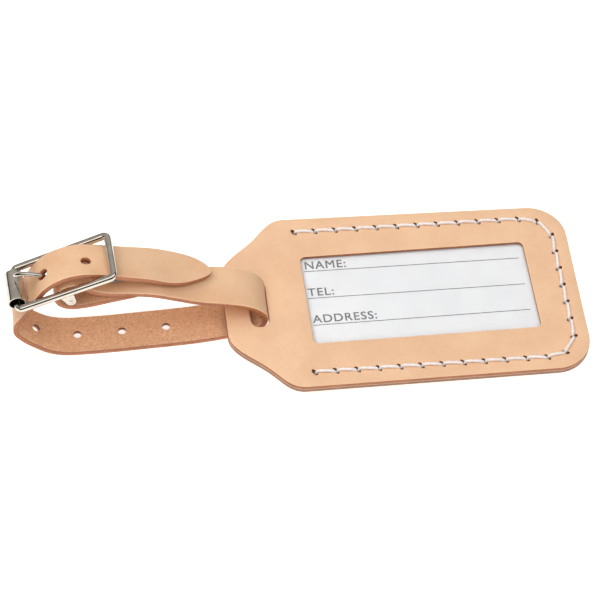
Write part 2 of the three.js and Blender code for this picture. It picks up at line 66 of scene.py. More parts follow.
INSET_CENTRE = (-47.3, 0.68)  # the window, the film and the card are turned about this
INSET_TURN = math.radians(0.7)
WINDOW = (-80.95, -13.65, 15.65, 1.6)  # left, right, half width, corner radius
SLOT = (-98.2, -92.75, 8.4, 2.7)
POCKET = (-92.1, -9.2, 20.6)  # the front panel is skived thinner here, over the card and the film
POCKET_SKIVE = 0.27
RULES = ((-80.3, 11.5, -15.5, 11.8), (-80.4, 1.64, -15.3, 2.15), (-80.1, -8.1, -15.4, -7.24))
CARD = (-84.7, -9.7, 20.0, 2.0)
FILM = (-85.2, -10.2, 19.5, 2.0)
CARD_TOP = 1.4
CARD_THICKNESS = 0.3
FILM_TOP = 1.65
FILM_THICKNESS = 0.2

STITCH_PITCH = 6.2
SEAM_INSET = 4.5
SEAM_HALF_WIDTH = 25.4
SEAM_START_X = -13.6
SEAM_CORNER = (-8.0, 24.1)
HOLES_PER_SIDE = 12
HOLES_AT_END = 7

STRAP_WIDTH = 12.4
STRAP_THICKNESS = 1.8
TIP_LENGTH = 18.0
TIP_POINT = 2.1
TIP_FULLNESS = 0.66
PUNCH_RADIUS = 1.3  # at mid thickness; the CAD's holes are straight, 1.5 in radius
PRONG_HOLE_RADIUS = 1.6  # the hole in use is stretched a little
PRONG_HOLE = 1
FIRST_HOLE = 38.75
HOLE_PITCH = 12.9
HOLE_DRIFT = -0.6  # the first hole's place across the strap; the fourth is central
DRIFT_HOLES = 3  # the drift dies out over this many
HOLE_COUNT = 7
SKIVE_LENGTH = 9.0
SKIVE_THICKNESS = 0.9
STRAP_ROUTE = [
    # the free end, lying on the upper run
    (-24.8, 4.4, 15.6, 3), (-30.6, 4.8, 17.2, 1), (-37.2, 4.1, 19.8, -2),
    # up under the buckle's end bar and over its centre bar
    (-43.8, 3.3, 23, -6), (-50.6, 2.65, 25.5, -8), (-57, 2.3, 27.6, -9),
    (-63, 2.05, 28.65, -8.5), (-68.4, 1.72, 27.6, -6.5), (-72.7, 1.42, 24.75, -3.5),
    # under the roller
    (-75.6, 1.1, 20.8, -1), (-77.9, 0.7, 17, -1), (-80.2, 0.1, 13.9, 0),
    # the left bend
    (-81.7, -0.6, 11.3, 0), (-81.5, -1.4, 8.5, 1), (-79.3, -2.2, 6.1, 2), (-76.2, -2.9, 4, 2),
    (-72.6, -3.5, 2.1, 1), (-68, -3.9, 1.1, 0),
    # the lower run, flat on the table
    (-62, -4.05, 1, 0), (-54, -4, 1, 0), (-46, -3.75, 1, 0), (-38, -3.5, 1, 0),
    (-30, -3.1, 1, 0), (-22, -2.25, 1, 0), (-16.5, -1.2, 1, 0),
    # up through the tag's slot
    (-13.1, -0.5, 1.2, 0), (-10.85, -0.1, 2.3, 0), (-10.05, 0.1, 4.4, 0), (-10.4, 0.4, 6.8, 2),
    # the upper run
    (-12.8, 0.7, 9.6, 5), (-17, 1, 11.7, 8), (-22.6, 1.2, 13, 7), (-29, 1.4, 13.9, 3),
    (-35.4, 1.6, 16.1, 2), (-42, 1.3, 19.1, 2), (-48.5, 1.5, 20.1, 1), (-54.5, 1.9, 20.1, -1),
    (-59.2, 2, 21.4, -3), (-62.6, 1.9, 23.9, -3),
    # the fold round the buckle's centre bar
    (-65.8, 1.7, 24.8, -2), (-68.6, 1.5, 23.4, -1), (-69.8, 1.4, 20.6, 0),
    (-68.6, 1.3, 17.8, 0), (-65.6, 1.2, 16.4, 0),
    # the tab, turned back below the upper run
    (-60.5, 1.3, 16.7, 0), (-54, 1.8, 17.6, 0), (-47.5, 2.6, 18, 0),
]

BUCKLE_PLACE = (-81.35, 0.7, 19.4)
BUCKLE_YAW = math.radians(3.5)
BUCKLE_PITCH = math.radians(20.9)
BUCKLE_LENGTH = 29.5
AXLE_WIDTH = 14.4  # between the rails' middle lines, at the roller
END_WIDTH = 15.0
WIRE_RADIUS = 1.08  # the CAD's is 0.92
BUCKLE_CORNER = 1.4
BAR_X = 14.58
BAR_DROP = 4.12
BAR_RADIUS = 0.9
AXLE_SHARE = 0.85  # the frame is filed thinner inside the roller
LUG_HALF_WIDTH = 1.45
LUG_THICKNESS = 1.1
LUG_FLARE = 0.7
ROLLER_OUTER = 2.7
ROLLER_INNER = 2.05
ROLLER_LENGTH = 10.3
ROLLER_SHIFT = 0.2
ROLLER_SEAM = 0.2  # the CAD's is 0.5
PRONG_RADIUS = 0.75
PRONG_EYE = 1.8
PRONG_SHANK = [
    (12.5, 0, -2), (10.8, -0.1, -1), (9.9, -0.35, 1), (8.4, -0.25, 3.1),
    (5.9, 0.5, 4.15), (3.4, 1.3, 4.35), (1.1, 1.9, 3.75),
]
RIVET_X = -52.8
RIVET_Y = 2.0
RIVET_TOP = 21.3
RIVET_BOTTOM = 16.5

TAG = Matrix.Translation((TAG_RIGHT_X, 0, 0)) @ Matrix.Rotation(TAG_TILT, 4, "Y")
BUCKLE = (
    Matrix.Translation(BUCKLE_PLACE)
    @ Matrix.Rotation(BUCKLE_YAW, 4, "Z")
    @ Matrix.Rotation(-BUCKLE_PITCH, 4, "Y")
)


# ---- material helpers ---------------------------------------------------------------------
def smooth_step(tree, value, low, high, to_low=0.0, to_high=1.0):
    """Maps low..high to to_low..to_high, easing in and out."""
    made = tree.nodes.new("ShaderNodeMapRange")
    made.interpolation_type = "SMOOTHSTEP"
    tree.links.new(value, made.inputs["Value"])
    numbers = (low, high, to_low, to_high)
    for key, number in zip(("From Min", "From Max", "To Min", "To Max"), numbers):
        made.inputs[key].default_value = number
    return made.outputs[0]


class Surface:
    """A Principled material and short calls for the nodes that feed it."""

    def __init__(self, name, **values):
        self.material = bpy.data.materials.new(name)
        self.material.use_nodes = True
        self.tree = self.material.node_tree
        self.shader = self.tree.nodes["Principled BSDF"]
        for key, value in values.items():
            self.shader.inputs[key.replace("_", " ")].default_value = value

    def node(self, kind, **inputs):
        made = self.tree.nodes.new(kind)
        for key, value in inputs.items():
            socket = made.inputs[key]
            if isinstance(value, bpy.types.NodeSocket):
                self.tree.links.new(value, socket)
            else:
                socket.default_value = value
        return made

    def place(self, stretch=(1, 1, 1)):
        coords = self.tree.nodes.new("ShaderNodeTexCoord").outputs["Object"]
        return self.node("ShaderNodeMapping", Vector=coords, Scale=stretch).outputs[0]

    def noise(self, period, detail=3.0, rough=0.5, distortion=0.0, stretch=(1, 1, 1)):
        made = self.node(
            "ShaderNodeTexNoise",
            Vector=self.place(stretch),
            Scale=1 / (period * MM),
            Detail=detail,
            Roughness=rough,
            Distortion=distortion,
        )
        return made.outputs[0]

    def cells(self, period):
        made = self.node("ShaderNodeTexVoronoi", Vector=self.place(), Scale=1 / (period * MM))
        return made.outputs["Distance"]

    def attribute(self, name):
        made = self.tree.nodes.new("ShaderNodeAttribute")
        made.attribute_name = name
        return made.outputs["Fac"]

    def remap(self, value, low, high, to_low=0.0, to_high=1.0):
        return smooth_step(self.tree, value, low, high, to_low, to_high)

    def math(self, operation, a, b):
        made = self.tree.nodes.new("ShaderNodeMath")
        made.operation = operation
        for socket, value in zip(made.inputs, (a, b)):
            if isinstance(value, bpy.types.NodeSocket):
                self.tree.links.new(value, socket)
            else:
                socket.default_value = value
        return made.outputs[0]

    def mix(self, share, a, b):
        made = self.tree.nodes.new("ShaderNodeMix")
        made.data_type = "RGBA"
        colours = [s for s in made.inputs if s.type == "RGBA"]
        for socket, value in zip([made.inputs[0], *colours], (share, a, b)):
            if isinstance(value, bpy.types.NodeSocket):
                self.tree.links.new(value, socket)
            else:
                socket.default_value = value if isinstance(value, float) else (*value, 1)
        return next(s for s in made.outputs if s.type == "RGBA")

    def colour(self, value):
        self.tree.links.new(value, self.shader.inputs["Base Color"])

    def rough(self, value):
        self.tree.links.new(value, self.shader.inputs["Roughness"])

    def bump(self, height, depth, strength=1.0):
        made = self.node("ShaderNodeBump", Height=height, Distance=depth * MM, Strength=strength)
        self.tree.links.new(made.outputs[0], self.shader.inputs["Normal"])


def srgb(red, green, blue):
    """A colour given as 0-255 screen values, in linear light."""
    return tuple(
        c / 12.92 if c <= 0.04045 else ((c + 0.055) / 1.055) ** 2.4
        for c in (red / 255, green / 255, blue / 255)
    )


def leather(name, grain_a, grain_b, edge_a, edge_b, bore_tone, flesh_side=False):
    """Vegetable-tanned leather: a smooth grain face with a painted highlight along its rim,
    burnished edges, hole walls in the cut leather's colour near the grain face with painted
    shade darkening them deeper in, and a fibrous flesh side if there is one. The attribute
    "depth" is 1 on the grain face, -1 on the other face, and between them on the edges;
    "inset" is the distance from an edge, and "bore" is 1 on the walls of the punched holes."""
    s = Surface(name, Specular_IOR_Level=0.5)
    depth, inset, bore = (s.attribute(key) for key in ("depth", "inset", "bore"))
    speck = s.noise(0.7, 4, 0.6)
    layers = s.noise(0.35, 4, 0.6)
    grain = s.mix(s.remap(s.noise(14, 3, 0.55), 0.35, 0.65), grain_a, grain_b)
    grain = s.mix(s.remap(speck, 0.35, 0.75, 0.0, 0.18), grain, srgb(212, 156, 110))
    # painted highlight: the grain face turns pale near every rim, though not on the hole walls
    rim_highlight = s.math("MULTIPLY", s.remap(inset, 0.12, 0.4, 1.0, 0.0), s.math("SUBTRACT", 1.0, bore))
    grain = s.mix(s.math("MULTIPLY", rim_highlight, 0.45), grain, srgb(252, 208, 166))

    edge = s.mix(s.remap(layers, 0.35, 0.65), edge_a, edge_b)
    low_tone = tuple(0.7 * c for c in edge_a)
    edge = s.mix(s.remap(s.noise(4.0, 3, 0.6), 0.4, 0.7, 0.0, 0.5), edge, low_tone)
    edge = s.mix(s.remap(depth, -0.2, -0.9, 0.0, 0.6), edge, low_tone)
    # hole walls: bore_tone, the cut leather's colour, near the grain face, and painted shade darkening
    # to near black deeper in
    bore_colour_and_shade = s.mix(s.remap(depth, -0.5, 0.4), srgb(66, 38, 26), bore_tone)
    edge = s.mix(s.math("MULTIPLY", bore, 0.9), edge, bore_colour_and_shade)
    colour = s.mix(s.remap(depth, 0.62, 0.92), edge, grain)

    roughness = s.remap(speck, 0.3, 0.7, 0.42, 0.54)
    height = s.math("ADD", s.math("MULTIPLY", s.cells(0.42), 0.35), s.math("MULTIPLY", speck, 0.5))
    height = s.math("ADD", height, s.math("MULTIPLY", layers, 0.4))
    if flesh_side:
        on_flesh = s.remap(depth, -0.98, -0.8, 1.0, 0.0)
        fibre = s.noise(0.55, 6, 0.65, 1.2)
        colour = s.mix(on_flesh, colour, flesh_tone(s, fibre))
        roughness = s.math("ADD", roughness, s.math("MULTIPLY", on_flesh, 0.35))
        nap = s.math("MULTIPLY", s.math("MULTIPLY", fibre, 3.0), on_flesh)
        height = s.math("ADD", height, nap)
    else:
        colour = s.mix(s.remap(depth, -0.995, -0.93, 1.0, 0.0), colour, grain)
    s.colour(colour)
    s.rough(roughness)
    s.bump(height, 0.07, 0.6)
    return s.material


def flesh_tone(s, fibre):
    """The flesh side's mottled browns, with dark specks where fibres have torn out."""
    flesh = s.mix(s.remap(fibre, 0.38, 0.62), srgb(206, 154, 117), srgb(241, 195, 156))
    blotch = s.remap(s.noise(3.5, 4, 0.6), 0.3, 0.75, 0.0, 0.5)
    flesh = s.mix(blotch, flesh, srgb(219, 167, 128))
    specks = s.remap(s.noise(0.9, 5, 0.7), 0.58, 0.68, 0.0, 0.38)
    return s.mix(specks, flesh, srgb(128, 80, 56))


def polished_metal(name, colour, low, high):
    """Nickel plate: mirror-like, with fine rubbing marks and faint clouding, and painted near
    black as shade where the attribute "bore" marks the inner wall of a tube."""
    s = Surface(name, Metallic=1.0)
    cloud = s.noise(3.0, 4, 0.6)
    marks = s.noise(0.5, 5, 0.7, 0.4, stretch=(1, 6, 6))
    darker = tuple(c * 0.82 for c in colour)
    bore_shade = s.attribute("bore")
    plated = s.mix(s.remap(cloud, 0.3, 0.7), darker, colour)
    # painted shade: where "bore" is 1, the inner wall of the roller, the colour goes near black
    s.colour(s.mix(bore_shade, plated, (0.02, 0.018, 0.015)))
    shine = s.remap(s.math("ADD", cloud, s.math("MULTIPLY", marks, 0.6)), 0.5, 1.1, low, high)
    s.rough(s.math("ADD", shine, s.math("MULTIPLY", bore_shade, 0.5)))
    s.bump(marks, 0.006, 0.35)
    return s.material


def waxed_thread():
    s = Surface("waxed_thread", Roughness=0.7)
    ply = s.noise(0.25, 4, 0.6)
    s.colour(s.mix(s.remap(ply, 0.3, 0.7), srgb(238, 224, 220), srgb(254, 247, 245)))
    s.rough(s.remap(ply, 0.3, 0.7, 0.62, 0.85))
    s.bump(ply, 0.05, 0.5)
    return s.material


def card_paper():
    s = Surface("card_paper")
    fibre = s.noise(0.3, 5, 0.6)
    cloud = s.noise(9.0, 3, 0.5)
    tone = s.mix(s.remap(cloud, 0.3, 0.7), srgb(238, 238, 239), srgb(243, 243, 244))
    s.colour(s.mix(s.remap(fibre, 0.3, 0.8, 0.0, 0.15), tone, srgb(228, 227, 227)))
    s.rough(s.remap(fibre, 0.3, 0.7, 0.6, 0.8))
    s.bump(fibre, 0.012, 0.4)
    return s.material


def printed_ink():
    s = Surface("printed_ink")
    wear = s.noise(0.4, 4, 0.6)
    s.colour(s.mix(s.remap(wear, 0.3, 0.7), srgb(62, 60, 62), srgb(92, 90, 92)))
    s.rough(s.remap(wear, 0.3, 0.7, 0.5, 0.75))
    s.bump(wear, 0.004, 0.3)
    return s.material


def clear_film():
    s = Surface("clear_film", IOR=1.45, Alpha=0.1)
    haze = s.noise(6.0, 3, 0.5)
    s.colour(s.mix(s.remap(haze, 0.3, 0.7), srgb(232, 238, 246), srgb(244, 248, 252)))
    s.rough(s.remap(haze, 0.3, 0.7, 0.08, 0.2))
    s.bump(haze, 0.05, 0.3)
    return s.material


def studio_floor():
    s = Surface("studio_floor", Roughness=0.9)
    s.shader.inputs["Base Color"].default_value = (0.86, 0.86, 0.86, 1)
    s.shader.inputs["Emission Color"].default_value = (1, 1, 1, 1)
    s.shader.inputs["Emission Strength"].default_value = 0.55
    return s.material


# ---- mesh helpers -------------------------------------------------------------------------
def add_piece(name, points, faces, material, body, slot, place=None, nodes=(), **attributes):
    """A smooth-shaded mesh from points in millimetres, riding on a body."""
    mesh = bpy.data.meshes.new(name)
    mesh.from_pydata([tuple(map(float, p)) for p in points], [], faces)
    mesh.transform((Matrix.Scale(MM, 4) @ place) if place else Matrix.Scale(MM, 4))
    for key, values in attributes.items():
        layer = mesh.attributes.new(key, "FLOAT", "POINT")
        layer.data.foreach_set("value", np.asarray(values, np.float32))
    mesh.polygons.foreach_set("use_smooth", [True] * len(mesh.polygons))
    mesh.materials.append(material)
    mesh.validate()
    piece = bpy.data.objects.new(name, mesh)
    bpy.context.scene.collection.objects.link(piece)
    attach(piece, body)
    if nodes:
        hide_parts(*nodes)
    return piece


def arc(cx, cy, radius, start, end, steps):
    angles = np.radians(np.linspace(start, end, steps + 1))
    return [(cx + radius * math.cos(a), cy + radius * math.sin(a)) for a in angles]


def line(a, b, spacing):
    steps = max(1, round(math.dist(a, b) / spacing))
    return [
        (a[0] + (b[0] - a[0]) * k / steps, a[1] + (b[1] - a[1]) * k / steps)
        for k in range(1, steps)
    ]


def bezier(a, b, c, d, steps):
    t = np.linspace(0, 1, steps + 1)[:, None]
    a, b, c, d = (np.array(p, float) for p in (a, b, c, d))
    curve = (1 - t) ** 3 * a + 3 * (1 - t) ** 2 * t * b + 3 * (1 - t) * t**2 * c + t**3 * d
    return [tuple(p) for p in curve]


def rounded_box(box, spacing):
    left, right, half, r = box
    corners = [
        arc(right - r, half - r, r, 0, 90, 8),
        arc(left + r, half - r, r, 90, 180, 8),
        arc(left + r, r - half, r, 180, 270, 8),
        arc(right - r, r - half, r, 270, 360, 8),
    ]
    points = []
    for k, corner in enumerate(corners):
        points += corner + line(corner[-1], corners[(k + 1) % 4][0], spacing)
    return points


def inset_box(box, spacing):
    """A rounded box about the window's middle, turned with it."""
    cx, cy = INSET_CENTRE
    c, s = math.cos(INSET_TURN), math.sin(INSET_TURN)
    return [
        (cx + (x - cx) * c - y * s, cy + (x - cx) * s + y * c)
        for x, y in rounded_box(box, spacing)
    ]


def tag_outline(spacing):
    """Straight sides, two round corners, and shoulders that sweep in to a narrower left end."""
    w, r, neck, sx = TAG_HALF_WIDTH, CORNER_RADIUS, NECK_HALF_WIDTH, SHOULDER_X
    upper = arc(-r, END_HALF_WIDTH - r, r, 0, 90, 20)
    upper += line((-r, END_HALF_WIDTH), (sx, w), spacing)
    bends = [(sx - left, w - drop) for left, drop in SHOULDER_CURVE]
    upper += bezier((sx, w), *bends, 12)
    start = (sx - NECK_CURVE_START[0], w - NECK_CURVE_START[1])
    upper += bezier(bends[-1], start, (-TAG_LENGTH, neck), (-TAG_LENGTH, neck - NECK_CORNER), 14)[1:]
    lower = [(x, -y) for x, y in reversed(upper)]
    return upper + line(upper[-1], lower[0], spacing) + lower + line(lower[-1], upper[0], spacing)


def inside(points, loop):
    x, y = points.T
    x0, y0 = loop.T
    x1, y1 = np.roll(loop, -1, 0).T
    crosses = (y0[:, None] > y) != (y1[:, None] > y)
    rise = np.where(y1 == y0, 1e-9, y1 - y0)[:, None]
    reach = x0[:, None] + (y - y0[:, None]) * (x1 - x0)[:, None] / rise
    return (crosses & (x < reach)).sum(0) % 2 == 1


def turned_way(loop, anticlockwise):
    x, y = loop.T
    area = (x * np.roll(y, -1) - np.roll(x, -1) * y).sum()
    return loop if (area > 0) == anticlockwise else loop[::-1].copy()


def nearest(points, others):
    """The distance from each point to the nearest of the others."""
    return np.concatenate(
        [
            np.linalg.norm(part[:, None] - others[None], axis=2).min(1)
            for part in np.array_split(points, max(1, len(points) // 400))
        ]
    )


def hex_grid(low, high, spacing):
    rows = []
    y, odd = low[1], False
    while y < high[1]:
        xs = np.arange(low[0] + (spacing / 2 if odd else 0), high[0], spacing)
        rows.append(np.stack([xs, np.full(len(xs), y)], 1))
        y, odd = y + spacing * 0.866, not odd
    return np.concatenate(rows)


ROUND_STEPS = 4
EDGE_BULGE = 0.03  # of the thickness, at the middle of an edge
FINE_SPACING = 0.6
FINE_REACH = 2.4


def inward_normals(loop):
    along = np.roll(loop, -1, 0) - np.roll(loop, 1, 0)
    normal = np.stack([-along[:, 1], along[:, 0]], 1)
    return normal / np.linalg.norm(normal, axis=1, keepdims=True)


def wall_rings(low, high, rounding):
    """An edge's profile from the top face to the bottom one, as (inset, z)."""
    angles = [0.5 * math.pi * k / ROUND_STEPS for k in range(ROUND_STEPS + 1)]
    corner = [(rounding * (1 - math.sin(a)), rounding * (1 - math.cos(a))) for a in angles]
    top = [(inset, high - drop) for inset, drop in corner]
    bottom = [(inset, low + drop) for inset, drop in reversed(corner)]
    return top + [(-EDGE_BULGE * (high - low), (low + high) / 2)] + bottom


def cap_grid(rims, loops, rounding, spacing, fine_line):
    """The points inside a face: a spacing apart, and closer round fine_line."""
    low, high = rims.min(0), rims.max(0)
    grid = hex_grid(low, high, spacing)
    if fine_line is not None:
        grid = grid[nearest(grid, fine_line) > FINE_REACH]
    grid = grid[nearest(grid, rims) > rounding + 0.5 * spacing]
    if fine_line is not None:
        fine = hex_grid(low, high, FINE_SPACING)
        fine = fine[nearest(fine, fine_line) <= FINE_REACH]
        fine = fine[nearest(fine, rims) > rounding + 0.5 * FINE_SPACING]
        grid = np.concatenate([grid, fine])
    grid = grid[inside(grid, loops[0])]
    for loop in loops[1:]:
        grid = grid[~inside(grid, loop)]
    return grid


def loop_spans(loops):
    """Each loop's first index and its length, in the list of all their points."""
    spans, start = [], 0
    for loop in loops:
        spans.append((start, len(loop)))
        start += len(loop)
    return spans


def cap_triangles(cap, spans):
    """A face's triangles. cap starts with its outer loop and its holes, which spans measures."""
    edges = [(start + i, start + (i + 1) % n) for start, n in spans for i in range(n)]
    made = geometry.delaunay_2d_cdt([Vector(p) for p in cap], edges, [], 0, 1e-6)
    source = [ids[0] if ids else -1 for ids in made[3]]
    triangles = np.array([[source[i] for i in f] for f in made[2]])
    triangles = triangles[(triangles >= 0).all(1)]
    middles = cap[triangles].mean(1)
    keep = inside(middles, cap[: spans[0][1]])
    for start, n in spans[1:]:
        keep &= ~inside(middles, cap[start : start + n])
    return triangles[keep]


def wall_faces(spans, count, rings):
    faces = []
    for start, n in spans:
        for k in range(rings - 1):
            a, b = k * count + start, (k + 1) * count + start
            for i in range(n):
                j = (i + 1) % n
                faces.append((a + i, b + i, b + j, a + j))
    return faces


def cap_faces(triangles, count, rings, inner):
    """Both faces: inner grid points each, which follow all the rings."""
    on_rim = triangles < count
    last = count * (rings - 1)
    grid = count * (rings - 1) + triangles
    top = np.where(on_rim, triangles, grid)
    bottom = np.where(on_rim, last + triangles, grid + inner)
    return top.tolist() + bottom[:, ::-1].tolist()


def plate(outer, holes, low, high, rounding, spacing, fine_line=None, bores=0):
    """A slab from low to high with rounded rims. It is meshed with points a spacing apart,
    closer round fine_line. Returns the points, the faces, and each point's depth and inset,
    and "bore", which is 1 on the walls of the last holes, as many as bores says."""
    loops = [turned_way(np.array(outer, float), True)]
    loops += [turned_way(np.array(h, float), False) for h in holes]
    spans = loop_spans(loops)
    rims = np.concatenate(loops)
    inward = np.concatenate([inward_normals(loop) for loop in loops])
    rings = wall_rings(low, high, rounding)
    grid = cap_grid(rims, loops, rounding, spacing, fine_line)
    triangles = cap_triangles(np.concatenate([rims + inward * rounding, grid]), spans)

    count = len(rims)
    points = [np.column_stack([rims + inward * inset, np.full(count, z)]) for inset, z in rings]
    points += [np.column_stack([grid, np.full(len(grid), z)]) for z in (high, low)]
    points = np.concatenate(points)
    insets = [np.full(count, max(inset, 0.0)) for inset, _ in rings] + [nearest(grid, rims)] * 2
    first_bore = count - sum(n for _, n in spans[len(spans) - bores :])
    bore = np.zeros(len(points))
    bore[: count * len(rings)] = np.tile(np.arange(count) >= first_bore, len(rings))
    depth = 2 * (points[:, 2] - low) / (high - low) - 1
    marks = {"depth": depth, "inset": np.concatenate(insets), "bore": bore}
    faces = wall_faces(spans, count, len(rings))
    faces += cap_faces(triangles, count, len(rings), len(grid))
    return points, faces, marks


def sweep(points, side, section, closed=False, twist=0.0, scales=None):
    """A section carried square along a line of points. side is the direction that the
    section's first axis keeps; twist turns the section, in radians for each millimetre."""
    points = np.array(points, float)
    if closed:
        along = np.roll(points, -1, 0) - np.roll(points, 1, 0)
    else:
        along = np.gradient(points, axis=0)
    along /= np.linalg.norm(along, axis=1, keepdims=True)
    side = np.broadcast_to(np.array(side, float), points.shape)
    across = side - (side * along).sum(1, keepdims=True) * along
    across /= np.linalg.norm(across, axis=1, keepdims=True)
    out = np.cross(along, across)
    steps = np.linalg.norm(np.diff(points, axis=0), axis=1)
    travel = np.concatenate([[0], np.cumsum(steps)])
    scales = np.ones(len(points)) if scales is None else np.array(scales, float)
    verts, faces = [], []
    n = len(section)
    for k, point in enumerate(points):
        angle = twist * travel[k]
        c, s = math.cos(angle), math.sin(angle)
        for u, v in section:
            x, y = (u * c - v * s) * scales[k], (u * s + v * c) * scales[k]
            verts.append(point + across[k] * x + out[k] * y)
    rings = len(points)
    for k in range(rings if closed else rings - 1):
        a, b = k * n, ((k + 1) % rings) * n
        for i in range(n):
            j = (i + 1) % n
            faces.append((a + i, a + j, b + j, b + i))
    if not closed:
        faces.append(tuple(range(n - 1, -1, -1)))
        faces.append(tuple(range((rings - 1) * n, rings * n)))
    return verts, faces


def round_section(radius_u, radius_v=None, sides=16, power=2.0):
    """A superellipse, as points anticlockwise."""
    radius_v = radius_u if radius_v is None else radius_v
    section = []
    for k in range(sides):
        a = 2 * math.pi * k / sides
        c, s = math.cos(a), math.sin(a)
        section.append(
            (
                radius_u * math.copysign(abs(c) ** (2 / power), c),
                radius_v * math.copysign(abs(s) ** (2 / power), s),
            )
        )
    return section


def smooth_line(points, steps):
    """A Catmull-Rom curve through the points, with steps points to each span."""
    p = np.array(points, float)
    p = np.vstack([2 * p[0] - p[1], p, 2 * p[-1] - p[-2]])
    curve = []
    for i in range(1, len(p) - 2):
        for t in np.arange(steps) / steps:
            a, b = 0.5 * (p[i + 1] - p[i - 1]), 0.5 * (p[i + 2] - p[i])
            curve.append(
                p[i]
                + a * t
                + (3 * (p[i + 1] - p[i]) - 2 * a - b) * t**2
                + (2 * (p[i] - p[i + 1]) + a + b) * t**3
            )
    curve.append(p[-2])
    return np.array(curve)


def merge_meshes(parts):
    verts, faces = [], []
    for some_verts, some_faces in parts:
        start = len(verts)
        verts += list(some_verts)
        faces += [[i + start for i in f] for f in some_faces]
    return verts, faces


def lathe(profile, segments=48):
    """A profile of (radius, z) turned about the z axis; it starts and ends on the axis."""
    verts = [(0, 0, profile[0][1])]
    rings = profile[1:-1]
    for radius, z in rings:
        for k in range(segments):
            a = 2 * math.pi * k / segments
            verts.append((radius * math.cos(a), radius * math.sin(a), z))
    verts.append((0, 0, profile[-1][1]))
    faces = []
    last = len(verts) - 1
    for k in range(segments):
        j = (k + 1) % segments
        faces.append((0, 1 + j, 1 + k))
        for i in range(len(rings) - 1):
            a, b = 1 + i * segments, 1 + (i + 1) * segments
            faces.append((a + k, a + j, b + j, b + k))
        a = 1 + (len(rings) - 1) * segments
        faces.append((a + k, a + j, last))
    return verts, faces


# ---- the tag ------------------------------------------------------------------------------
def seam_holes():
    """The seam's holes, from the far left round the right end to the near left."""
    side = [(SEAM_START_X - i * STITCH_PITCH, SEAM_HALF_WIDTH) for i in range(HOLES_PER_SIDE)]
    far = side[::-1] + [SEAM_CORNER]
    middle = (HOLES_AT_END - 1) / 2
    end = [(-SEAM_INSET, (middle - i) * STITCH_PITCH) for i in range(HOLES_AT_END)]
    return np.array(far + end + [(x, -y) for x, y in reversed(far)])


SEAM = seam_holes()
SLIT_LEAN = math.radians(35)  # the awl's slits lean along the seam
SLIT_HALF_LENGTH = 1.2
SLIT_HALF_WIDTH = 0.56
STITCH_SLANT = 0.28  # each stitch crosses the seam's line by this much at its ends
STITCH_ENDS = ((0.45, -1.15), (0.5, -0.6), (0.75, -0.08), (1.3, 0.2), (2.1, 0.3))
STITCH_HEIGHT = 0.32  # at its middle; STITCH_ENDS are (distance from the hole, height)
STITCH_SINK = 0.14  # below the front face
BACK_STITCH_Z = 0.72
THREAD_RADIUS = 0.48
THREAD_RELIEF = 0.035  # how far the two plies stand out
THREAD_TWIST = 1.9
THREAD_SIDES = 14
STITCH_LIFT = 0.04  # of the thread's middle, off the face
TABLE_CLEARANCE = 0.02
PANEL_RIM = 0.3
PANEL_SPACING = 1.7
OUTLINE_SPACING = 1.2
SLOT_SPACING = 1.0
PULL_DEPTH = 0.28  # how far the stitches pull the front panel in
PULL_ALONG = (0.6, 0.9)  # share of the depth and reach, along the whole seam
PULL_AT_HOLE = (0.5, 1.1)
GROOVE_DEPTH = 0.7  # of the back stitches' groove
GROOVE_REACH = 0.8


def seam_directions():
    """The seam's direction at each hole, and the way in from it."""
    along = np.gradient(SEAM, axis=0)
    along /= np.linalg.norm(along, axis=1, keepdims=True)
    return along, np.stack([along[:, 1], -along[:, 0]], 1)


def seam_slits():
    along, inner = seam_directions()
    slits = []
    for hole, d, n in zip(SEAM, along, inner):
        long_axis = n * math.cos(SLIT_LEAN) + d * math.sin(SLIT_LEAN)
        short_axis = np.array([-long_axis[1], long_axis[0]])
        slits.append(
            [
                hole + long_axis * u + short_axis * v
                for u, v in round_section(SLIT_HALF_LENGTH, SLIT_HALF_WIDTH, 14)
            ]
        )
    return slits


def seam_line():
    return np.concatenate([np.linspace(a, b, 12) for a, b in zip(SEAM[:-1], SEAM[1:])])


def pulled_in(points, depth):
    """How far the leather is pulled in by the stitches, at each point."""
    reach = nearest(points[:, :2], seam_line())
    at_hole = nearest(points[:, :2], SEAM)
    (share, width), (hole_share, hole_width) = PULL_ALONG, PULL_AT_HOLE
    line_pull = share * np.exp(-((reach / width) ** 2))
    return depth * (line_pull + hole_share * np.exp(-((at_hole / hole_width) ** 2)))


def panel_plate(windows, low, high):
    """One of the tag's panels, with its slot and the seam's slits."""
    holes = [*windows, rounded_box(SLOT, SLOT_SPACING), *seam_slits()]
    outline = tag_outline(OUTLINE_SPACING)
    return plate(outline, holes, low, high, PANEL_RIM, PANEL_SPACING, seam_line(), len(SEAM))


def front_panel(material):
    low = BACK_THICKNESS + PLY_LINE
    window = inset_box(WINDOW, OUTLINE_SPACING)
    points, faces, marks = panel_plate([window], low, TAG_TOP)
    top = marks["depth"] > 0
    points[top, 2] -= pulled_in(points[top], PULL_DEPTH)
    skive_pocket(points, low)
    add_piece(
        "front_leather", points, faces, material, "tag", "panel_leather", TAG, ["front_panel"], **marks
    )


def skive_pocket(points, low):
    """Raises the front panel's underside over the pocket, so the card has room to slide."""
    left, right, half = POCKET
    x, y, z = points.T
    over = (left < x) & (x < right) & (np.abs(y - INSET_CENTRE[1]) < half)
    share = 1 - POCKET_SKIVE / (TAG_TOP - low)
    points[over, 2] = TAG_TOP - (TAG_TOP - z[over]) * share


def back_panel(material):
    points, faces, marks = panel_plate([], 0.0, BACK_THICKNESS)
    below = marks["depth"] < 0
    reach = nearest(points[below, :2], seam_line())
    points[below, 2] += GROOVE_DEPTH * np.exp(-((reach / GROOVE_REACH) ** 4))
    add_piece(
        "back_leather", points, faces, material, "tag", "panel_leather", TAG, ["back_panel"], **marks
    )


